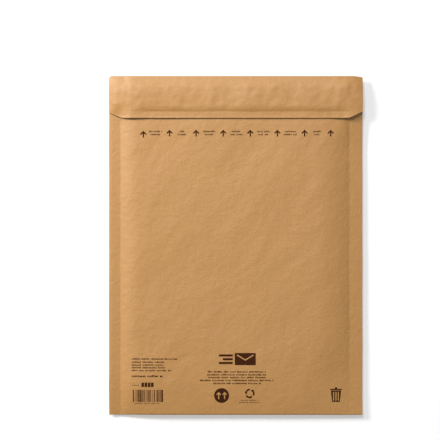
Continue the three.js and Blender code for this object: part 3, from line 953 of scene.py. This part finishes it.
def badgeFields():
    # a filled disc with two bare arrows that point up
    x, y = fromLeft(badge["column"]), fromBottom(badge["row"])
    bare = [arrow(x + side * badge["arrowAside"], y, *badge["arrowSize"])[0][::-1] for side in (-1, 1)]
    return [[disc(x, y, badge["radius"])] + bare]


addInk("upright_badge", badgeFields(), ["upright_badge"])

loop = {
    "column": 249.8,
    "row": 393.6,
    "radius": 4.0,
    "band": 1.6,
    "barb": 0.8,
    "tail": 70,
    "head": 32,
    "points": 9,
}
loopNotes = {"lines": [(400.4, 241.1, 258.2), (402.6, 238.9, 260.8)], "print": (1.15, 0.5, 95)}


def loopArrow(turn):
    # a bent band with a pointed head: points at two radii over the tail's angles, and at the head's tip
    x, y = fromLeft(loop["column"]), fromBottom(loop["row"])
    count, barb = loop["points"], loop["barb"]
    tail = np.radians(turn + np.linspace(0, loop["tail"], count))
    tip = np.radians(turn + loop["tail"] + loop["head"])
    outer, inner = loop["radius"] + loop["band"] / 2, loop["radius"] - loop["band"] / 2
    head = [outer + barb, loop["radius"], inner - barb]
    radii = np.concatenate([np.full(count, outer), head, np.full(count, inner)])
    angles = np.concatenate([tail, [tail[-1], tip, tail[-1]], tail[::-1]])
    return [[np.column_stack([x + radii * np.cos(angles), y + radii * np.sin(angles)])]]


for number in (1, 2, 3):
    addInk(f"loop_arrow_{number}", loopArrow(120 * number - 30), [f"loop_arrow_{number}"])
height, cover, seed = loopNotes["print"]
for number, (row, start, end) in enumerate(loopNotes["lines"]):
    fields = printLine(start, (end - start) * photo["pixel"], row, height, cover, seed + number)
    addInk(f"loop_note_{2 - number}", fields, [f"loop_note_{2 - number}"])

waste = {
    "left": 331,
    "bottom": 402.2,
    "width": 10.4,
    "height": 14.6,
    "lid": 11.4,
    "lidGap": 0.5,
    "taper": 1.4,
    "stroke": 1.2,
}


def binFields():
    # a tapered bin with bare gaps between its staves, under a lid with a knob
    left, low, rim = fromLeft(waste["left"]), fromBottom(waste["bottom"]), waste["stroke"]
    width, lid, taper = waste["width"], waste["lid"], waste["taper"]
    middle, cover = left + width / 2, lid + waste["lidGap"]
    shell = np.array([[taper, 0], [width - taper, 0], [width, lid], [0, lid]]) + [left, low]
    gaps = [bar(middle - rim / 2 + k * 2 * rim, low + rim, rim, lid - 2 * rim)[0][::-1] for k in (-1, 0, 1)]
    knob = bar(middle - rim, low + cover + rim, 2 * rim, waste["height"] - cover - rim)
    return [[shell] + gaps, bar(left - rim / 2, low + cover, width + rim, rim), knob]


addInk("bin_sign", binFields(), ["bin_sign"])
print("signs ready")

# Floor, light and camera

stage = {
    "floor": 6,
    "floorBelow": 0.0002,
    "floorColour": "d9d9d9",
    "floorGlow": 0.42,
    "sky": 0.17,
    "lights": {"left": ((-1.07, 0.72, 0.82), 0.46, 23.1), "top": ((-0.35, 1.3, 2.0), 0.55, 26.2)},
    "distance": 1.7,
    "aimHeight": 0.005,
    "sensor": 36,
    "frame": 2 * photo["middle"] * photo["pixel"] * metres,
}


def backgroundRay(wire):
    # 1 where the background itself is seen: straight, in a reflection or through something clear
    rays = [wire.node("ShaderNodeLightPath", output=kind)
            for kind in ("Is Camera Ray", "Is Glossy Ray", "Is Transmission Ray")]
    return rays[0].math("MAXIMUM", rays[0].math("MAXIMUM", rays[0], rays[1]), rays[2])


floorMesh = bpy.data.meshes.new("floor")
half, under = stage["floor"] / 2, -stage["floorBelow"]
corners = [(-half, -half, under), (half, -half, under), (half, half, under), (-half, half, under)]
floorMesh.from_pydata(corners, [], [(0, 1, 2, 3)])
floor = bpy.data.objects.new("floor", floorMesh)
bpy.context.scene.collection.objects.link(floor)
floorPaint, wire, shader = newMaterial("floor_paint", {
    "Base Color": paint(stage["floorColour"]),
    "Roughness": 0.9,
    "Specular IOR Level": 0.1,
    "Emission Strength": 1.0,
})
seen = mixed(wire, backgroundRay(wire), (0, 0, 0, 1), (stage["floorGlow"],) * 3 + (1,))
connect(wire, shader, Emission_Color=seen)
floorMesh.materials.append(floorPaint)

world = bpy.data.worlds.new("studio")
bpy.context.scene.world = world
world.use_nodes = True
background = world.node_tree.nodes["Background"]
wire = Wire(world.node_tree)
sky = mixed(wire, backgroundRay(wire), (stage["sky"],) * 3 + (1,), (1, 1, 1, 1))
connect(wire, background, Color=sky)
background.inputs["Strength"].default_value = 1.0

for name, (place, size, power) in stage["lights"].items():
    lightData = bpy.data.lights.new(name, "AREA")
    lightData.size = size
    lightData.energy = power
    light = bpy.data.objects.new(name, lightData)
    light.location = place
    light.rotation_euler = Vector(place).to_track_quat("Z", "Y").to_euler()
    bpy.context.scene.collection.objects.link(light)

cameraData = bpy.data.cameras.new("camera")
cameraData.sensor_width = stage["sensor"]
cameraData.lens = stage["sensor"] * stage["distance"] / stage["frame"]
camera = bpy.data.objects.new("camera", cameraData)
middle = photo["middle"]
camera.location = (fromLeft(middle) * metres, fromBottom(middle) * metres,
                   stage["distance"] + stage["aimHeight"])
bpy.context.scene.collection.objects.link(camera)
bpy.context.scene.camera = camera
bpy.context.scene.view_settings.view_transform = "Standard"
print("stage ready")
